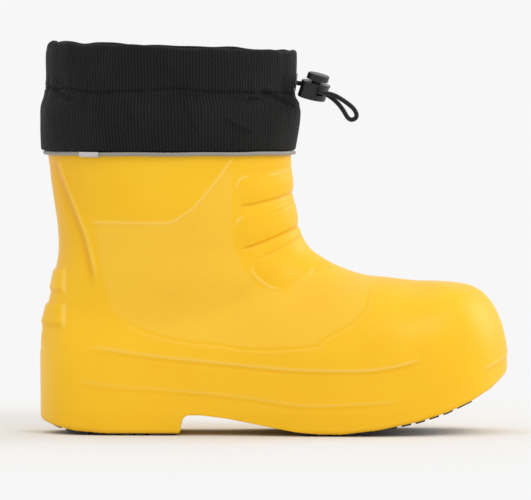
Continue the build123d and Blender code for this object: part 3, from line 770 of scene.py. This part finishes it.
def double_wall(name, outside, inside, material, values=None, uv=None):
    """A wall between two grids of the same columns, joined at the rim and closed at the tips."""
    rows, cols = outside.shape[:2]
    points = np.vstack([outside.reshape(-1, 3), inside.reshape(-1, 3)])
    first = rows * cols
    lining_faces = grid_faces(inside.shape[0], cols, first=first, flip=True)
    faces = np.vstack([grid_faces(rows, cols), lining_faces]).tolist()
    for j in range(cols):
        k = (j + 1) % cols
        faces.append([j, first + j, first + k, k])
    faces.append([(rows - 1) * cols + j for j in range(cols)])
    faces.append([first + (inside.shape[0] - 1) * cols + j for j in range(cols)][::-1])
    spare = np.zeros(inside.shape[0] * cols)
    filled = {key: np.concatenate([value.ravel(), spare]) for key, value in (values or {}).items()}
    return link(name, mesh_of(name, points, faces, uv, filled), material)


shell = double_wall("moulded_shell", outer, inner, SHELL, {"painted_light_and_tone": painted_light_and_tone, "quarter": quarter})
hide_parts("boot_shell")
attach(shell, "boot")

# ---- knitted lining ----
LINING_TOP = 171.0
sock_out, _ = cast(LINING_TOP, (12, 50, 16, 24), 240, 4.3, 0.3)
sock_in, _ = cast(LINING_TOP, (12, 50, 16, 24), 240, 5.6, 1.6)


def wrap_uv(points):
    """UV in metres: round the columns, and down the rows."""
    ring = np.linalg.norm(np.roll(points, -1, axis=1) - points, axis=-1)
    u = np.cumsum(np.broadcast_to(ring.mean(axis=0)[None], ring.shape), axis=1)
    v = np.cumsum(np.linalg.norm(np.diff(points, axis=0, prepend=points[:1]), axis=-1), axis=0)
    return np.stack([u, v], -1).reshape(-1, 2) * MM


sock_uv = np.vstack([wrap_uv(sock_out), wrap_uv(sock_in)])
sock = double_wall("knit_lining", sock_out, sock_in, KNIT, uv=sock_uv)
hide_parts("lining_sock")
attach(sock, "boot")

# ---- cuff: two layers of cloth gathered by the drawcord ----
# Height, back, front, half width and tilt of the cuff's levels.
CUFF = np.array([
    (178, -149.4, 13.8, 56.2, 0.0), (182.4, -149.9, 14.4, 56.6, 0.0), (188, -150.6, 15.2, 57.4, 0.0),
    (198, -151.5, 16.2, 58.0, 0.0), (208, -151.4, 17.2, 58.0, 0.2), (213, -150.4, 16.6, 57.4, 0.4),
    (218, -148.2, 14.3, 56.2, 0.7), (225, -146.6, 14.2, 55.2, 1.0), (233, -147.0, 15.2, 55.4, 1.4),
    (241, -147.0, 15.4, 55.6, 1.7), (247.6, -145.0, 15.2, 54.6, 2.1), (252, -144.4, 15.0, 54.4, 2.3),
])
TUNNEL_SEAM = 220.4
EYELET_Z = 226.4
# Side-view line and depth.
CREASES = [
    ([(-146, 223.2), (-141, 220.4), (-134, 216.0), (-127, 213.2)], 1.3),
    ([(-9, 221.5), (0, 217.5), (9, 213.5), (18, 209.0)], 1.4),
    ([(-19, 213.0), (-13, 215.6), (-7.5, 216.0)], 0.9),
    ([(-98, 217.0), (-93, 208.0), (-90, 199.0)], 0.8),
    ([(-60, 216.0), (-54, 205.0), (-50, 194.0)], 0.8),
    ([(-34, 204.0), (-22, 197.0), (-12, 193.5)], 0.7),
]
# How many round the cuff, phase and height.
GATHERS = [(17, 0.4, 0.34), (23, 1.9, 0.30), (31, 4.1, 0.26), (41, 2.7, 0.20), (57, 0.9, 0.14)]


def seam_height(turn):
    """The tunnel's seam, which wanders as the cord gathers the cloth."""
    slow = 0.9 * np.sin(4 * turn + 1.1) + 0.6 * np.sin(7 * turn + 0.3)
    return TUNNEL_SEAM + slow + 0.4 * np.sin(13 * turn + 2.2)


def top_ripple(turn, x):
    """How far the cuff's top stands above its form."""
    wave = 0.35 * np.sin(6 * turn + 0.8) + 0.30 * np.sin(11 * turn + 2.6) + 0.2 * np.sin(19 * turn + 0.4)
    return wave + 0.9 * dip(x + 133, 5.0) - 1.1 * dip(x + 123, 5.0)


def cuff_folds(turn, z, x):
    """How far the cloth stands out from its form, by gathers, creases and slack."""
    seam_at = seam_height(turn)
    at_seam = dip(z - seam_at, 6.5)
    at_top = dip(z - 250.0, 9.0)
    strength = 0.30 + 1.5 * at_seam + 0.9 * at_top
    out = np.zeros(np.broadcast(turn, z).shape)
    for count, phase, size in GATHERS:
        lean = 0.012 * math.sin(phase * 7) * (z - seam_at)
        wave = np.abs(np.sin(count * turn / 2 + phase + lean))
        out += size * (wave**0.8 - 0.62) * strength
    slack = 0.55 * np.sin(3 * turn + 0.6)
    slack = slack + 0.45 * np.sin(5 * turn + 2.0 + 0.03 * (z - 200))
    slack = slack + 0.3 * np.sin(9 * turn + 1.0 - 0.05 * (z - 200))
    out += slack * dip(z - 203, 13.0) + 0.35 * slack * dip(z - 236, 8.0)
    for line, depth in CREASES:
        d, s = to_line(x, z, through(line, 5))
        keep = fade(0.0, 0.2, s) * (1 - fade(0.8, 1.0, s))
        out += keep * depth * (0.55 * dip(d - 2.6, 2.2) - dip(d, 1.5))
    out -= 0.7 * dip(z - seam_at, 1.3) + 0.7 * dip(z - seam_at + 5.0, 4.0)
    return out


def cuff_surface(turn, z, inset, folds=1.0):
    """A point of the cuff at a turn from the back, a height and a distance in from its form."""
    back, front, half, tilt = (table(CUFF, i, z, 2.2) for i in (1, 2, 3, 4))
    middle, reach = (front + back) / 2, (front - back) / 2
    x = middle + reach * np.cos(turn)
    y = half * np.sin(turn) * (1 - 0.06 * np.cos(turn))
    normal = np.stack([np.cos(turn) * half, np.sin(turn) * reach, np.zeros_like(x)], -1)
    normal /= np.linalg.norm(normal, axis=-1)[..., None]
    lift = z - x * np.sin(np.radians(tilt)) + top_ripple(turn, x) * fade(228, 246, z)
    out = cuff_folds(turn, z, x) * folds - inset
    return np.stack([x, y, lift], -1) + normal * out[..., None]


CUFF_COLS = 600
turn = (np.arange(CUFF_COLS) * 2 * math.pi / CUFF_COLS + math.pi)[None, :]
FOLD = 2.5  # radius of the fold at the top
# Height, distance in from the form, and share of the folds, from the hem up and over the fold.
profile = [(182.3, 3.6, 0.0), (182.4, 1.6, 0.1), (182.7, 0.6, 0.2), (183.2, 0.1, 0.4)]
profile += [(z, 0.0, min(1.0, 0.4 + (z - 183.2) / 8)) for z in np.linspace(183.8, 244.6, 92)]
profile += [
    (244.9 + FOLD * math.sin(a), FOLD * (1 - math.cos(a)), 1 - 0.2 * a / math.pi)
    for a in np.linspace(0.15, math.pi, 12)
]
profile += [(z, 5.0, 0.8) for z in np.linspace(243.6, 238.0, 6)]
turn, heights, insets, weights = np.broadcast_arrays(turn, *np.array(profile).T[..., None])
cuff_points = cuff_surface(turn, heights, insets, weights)
cuff_faces = grid_faces(len(profile), CUFF_COLS)
centres = cuff_points.reshape(-1, 3)[cuff_faces].mean(axis=1)
in_eyelet = (centres[:, 0] > 8) & (np.hypot(centres[:, 1], centres[:, 2] - EYELET_Z) < 3.6)
in_eyelet &= cuff_faces[:, 0] < 98 * CUFF_COLS
cuff_mesh = mesh_of("cuff_cloth", cuff_points, cuff_faces[~in_eyelet].tolist(), wrap_uv(cuff_points))
cuff = link("cuff_cloth", cuff_mesh, NYLON)
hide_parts("cuff_outer")
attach(cuff, "boot")

LINING_COLS = 360
turn_in = (np.arange(LINING_COLS) * 2 * math.pi / LINING_COLS + math.pi)[None, :]
line_profile = [(z, 5.8 + 0.8 * fade(0, 6, 244.5 - z)) for z in np.linspace(244.5, 186.0, 60)]
turns, lining_z, lining_inset = np.broadcast_arrays(turn_in, *np.array(line_profile).T[..., None])
upper_lining = cuff_surface(turns, lining_z, lining_inset, 0.35)
LOW_INSET = 6.0  # below the hem the lining follows the shaft
low_rows = []
for z in np.linspace(183.0, 166.5, 14):
    back, front, half, egg = (float(table(SHAFT, i, min(z, SHELL_TOP))) for i in (1, 2, 3, 4))
    x = (front + back) / 2 + ((front - back) / 2 - LOW_INSET) * np.cos(turn_in[0])
    y = (half - LOW_INSET) * np.sin(turn_in[0]) * (1 - egg * np.cos(turn_in[0]))
    low_rows.append(np.stack([x, y, np.full_like(x, z)], -1))
lining_points = np.concatenate([upper_lining, np.array(low_rows)])
lining_faces = grid_faces(len(lining_points), LINING_COLS).tolist()
lining_mesh = mesh_of("cuff_inside", lining_points, lining_faces, wrap_uv(lining_points))
lining = link("cuff_inside", lining_mesh, LINING)
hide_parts("cuff_lining")
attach(lining, "boot")


# ---- stitches of the tunnel's seam ----
def stitches(name, z, offset, length, pitch, radius, material):
    """A row of separate stitches along the tunnel's seam, left out where the eyelet is."""
    verts, faces, uvs = [], [], []
    base = 0
    round_turns = np.linspace(0, 2 * math.pi, 2001)
    ring = cuff_surface(round_turns + math.pi, np.full(2001, z), np.zeros(2001))
    s = np.concatenate([[0], np.cumsum(np.linalg.norm(np.diff(ring, axis=0), axis=1))])
    count = int(s[-1] / pitch)
    for i in range(count):
        at = np.linspace(i * pitch, i * pitch + length, 5)
        turns = np.interp(at, s, round_turns) + math.pi
        arch = np.array([-0.25, 0.12, 0.2, 0.12, -0.25])
        line = cuff_surface(turns, seam_height(turns), -(offset + arch))
        if line[2, 0] > 5 and abs(line[2, 1]) < 6 and abs(line[2, 2] - EYELET_Z) < 7:
            continue
        stitch, stitch_faces, stitch_uv = tube(line, radius, 6)
        faces += [[base + k for k in face] for face in stitch_faces]
        base += len(stitch)
        verts.append(stitch)
        uvs.append(stitch_uv)
    piece = link(name, mesh_of(name, np.vstack(verts), faces, np.vstack(uvs) * MM), material)
    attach(piece, "boot")
    return piece


seam = stitches("tunnel_stitches", TUNNEL_SEAM, 0.12, 2.3, 3.3, 0.24, THREAD)


# ---- piping, its end and the woven tab ----
PIPING_Z = 180.9
PIPING_OUT = 1.85  # from the shell to the piping's middle


def shell_ring(count, out, z):
    """Points round the shell's rim, out from it."""
    t = np.arange(count) * 2 * math.pi / count + math.pi
    back, front, half = -145.5 - out, 11.6 + out, 54.0 + out
    x = (front + back) / 2 + (front - back) / 2 * np.cos(t)
    y = half * np.sin(t) * (1 - 0.06 * np.cos(t))
    return np.stack([x, y, np.full_like(x, z)], -1)


def twill(s, turn):
    """Fine ribs across the piping."""
    return 0.05 * np.sin(s * 2 * math.pi / 1.6) * np.ones_like(turn)


piping_line = shell_ring(420, PIPING_OUT, PIPING_Z)
piping_line[:, 2] += 0.12 * np.sin(np.arange(420) * 2 * math.pi / 420 * 11)
verts, faces, uv = tube(piping_line, 1.3, 18, closed=True, shape=twill)
piping = link("piping_strip", mesh_of("piping_strip", verts, faces, uv * MM), PIPING)
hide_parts("cuff_piping")
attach(piping, "boot")

# The tab is a strip folded over the piping, along the piping's own line.
TAB_MIDDLE_X = -117.7
TAB_HALF_LENGTH = 6.9
TAB_OUTER = 2.12
TAB_INNER = 1.42
TAB_COLS = 48
ring = shell_ring(720, PIPING_OUT, PIPING_Z)
ring_s = np.concatenate([[0], np.cumsum(np.linalg.norm(np.diff(ring, axis=0), axis=1))])
middle_s = ring_s[np.argmin(np.abs(ring[:360, 0] - TAB_MIDDLE_X))]
tab_s = np.linspace(middle_s - TAB_HALF_LENGTH, middle_s + TAB_HALF_LENGTH, TAB_COLS)
tab_line = np.stack([np.interp(tab_s, ring_s, ring[:, i]) for i in range(3)], -1)
tab_dir = np.gradient(tab_line, axis=0)
tab_dir /= np.linalg.norm(tab_dir, axis=1)[:, None]
tab_out = np.cross(tab_dir, (0, 0, 1.0))
shaft_middle = np.array([-67, 0, PIPING_Z])
tab_out *= np.sign((tab_out * (tab_line - shaft_middle)).sum(-1))[:, None]
angles = np.radians(np.linspace(38, -108, 22))
loop = [(math.cos(a) * TAB_OUTER, math.sin(a) * TAB_OUTER) for a in angles]
loop += [(math.cos(a) * TAB_INNER, math.sin(a) * TAB_INNER) for a in angles[::-1]]
up = np.array([0, 0, 1.0])
tab_points = np.array([[p + o * a + up * b for a, b in loop] for p, o in zip(tab_line, tab_out)])
tab_end = (TAB_COLS - 1) * len(loop)
tab_faces = grid_faces(TAB_COLS, len(loop)).tolist()
tab_faces += [list(range(len(loop))), [tab_end + j for j in range(len(loop))][::-1]]
tab_across = np.arange(len(loop))[None, :] * 0.00025
tab_uv = np.stack(np.broadcast_arrays(tab_s[:, None] * MM, tab_across), -1).reshape(-1, 2)
tab = link("woven_tab", mesh_of("woven_tab", tab_points, tab_faces, tab_uv), TAB)
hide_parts("cuff_tab")
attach(tab, "boot")


# ---- footbed and its cover ----
def bed(name, low, high, dish, material):
    """A flat pad of the sole's plan drawn in, from low to high above the floor, its rim raised by dish."""
    drawn_in = [(x * (1 - 17 * abs(x) / 151.5**2), y * (1 - 15 / 56)) for x, y in SOLE_OUTLINE]
    plan = through(drawn_in, 9, closed=True)
    rings = [(r, 0) for r in np.linspace(0.02, 0.97, 14)] + [(0.99, 0.25), (1.0, 0.5), (0.99, 0.75)]
    rings += [(r, 1) for r in np.linspace(0.97, 0.02, 26)]
    rows = []
    for r, up in rings:
        x = 10 + (plan[:, 0] - 10) * r
        y = plan[:, 1] * r
        floor = np.interp(x, FLOOR_LINE[:, 0], FLOOR_LINE[:, 1])
        z = floor + low + (high - low) * up + dish * r**4 * fade(0.2, 1.0, np.full_like(x, up))
        rows.append(np.stack([x, y, z], -1))
    grid = np.array(rows)
    count = len(plan)
    faces = grid_faces(len(rows), count, flip=True).tolist()
    faces += [list(range(count))[::-1], [(len(rows) - 1) * count + j for j in range(count)]]
    flat_uv = grid[..., :2].reshape(-1, 2) * MM
    return link(name, mesh_of(name, grid, faces, flat_uv), material)


footbed = bed("foam_footbed", 1.8, 6.6, 0.0, FOAM)
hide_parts("footbed")
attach(footbed, "boot")
cover = bed("footbed_cloth", 6.7, 7.6, 1.2, COVER)
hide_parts("footbed_cover")
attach(cover, "boot")

# ---- CAD pieces that stay ----
for name, material in (
    ("heel_tread", TREAD), ("forefoot_tread", TREAD), ("piping_core", THREAD), ("drawcord", CORD),
    ("eyelet_grommet", METAL), ("eyelet_washer", METAL), ("cord_lock_barrel", PLASTIC),
    ("cord_lock_plunger", PLASTIC),
):
    nodes[name].data.materials.clear()
    nodes[name].data.materials.append(material)

# ---- floor, background and light ----
AMBIENT = 0.93
world = bpy.data.worlds.new("world")
world.use_nodes = True
background = next(n for n in world.node_tree.nodes if n.type == "BACKGROUND")
background.inputs[0].default_value = rgba(AMBIENT, AMBIENT, AMBIENT)
background.inputs[1].default_value = 1.0
scene.world = world
scene.view_settings.view_transform = "Standard"

fall = 0.0
for name, towards, energy, width in (
    ("key", (0.42, -0.58, 0.70), 0.6, 22),
    ("overhead", (-0.05, 0.12, 0.99), 0.15, 50),
    ("side", (0.85, 0.35, 0.42), 0.75, 34),
):
    lamp = bpy.data.lights.new(name, "SUN")
    lamp.energy = energy
    lamp.angle = math.radians(width)
    lamp_object = bpy.data.objects.new(name, lamp)
    direction = Vector(towards).normalized()
    lamp_object.rotation_euler = direction.to_track_quat("Z", "Y").to_euler()
    scene.collection.objects.link(lamp_object)
    fall += energy * direction.z / math.pi

floor_mesh = bpy.data.meshes.new("floor")
corners = [(-40, -40), (40, -40), (40, 40), (-40, 40)]
floor_mesh.from_pydata([(x, y, -0.0002) for x, y in corners], [], [(0, 1, 2, 3)])
floor_material, tree, shader, where = new_material("floor")
shader.inputs["Base Color"].default_value = rgba(*(AMBIENT / (AMBIENT + fall),) * 3)
shader.inputs["Roughness"].default_value = 1.0
shader.inputs["Specular IOR Level"].default_value = 0.0
floor_mesh.materials.append(floor_material)
floor = bpy.data.objects.new("floor", floor_mesh)
scene.collection.objects.link(floor)
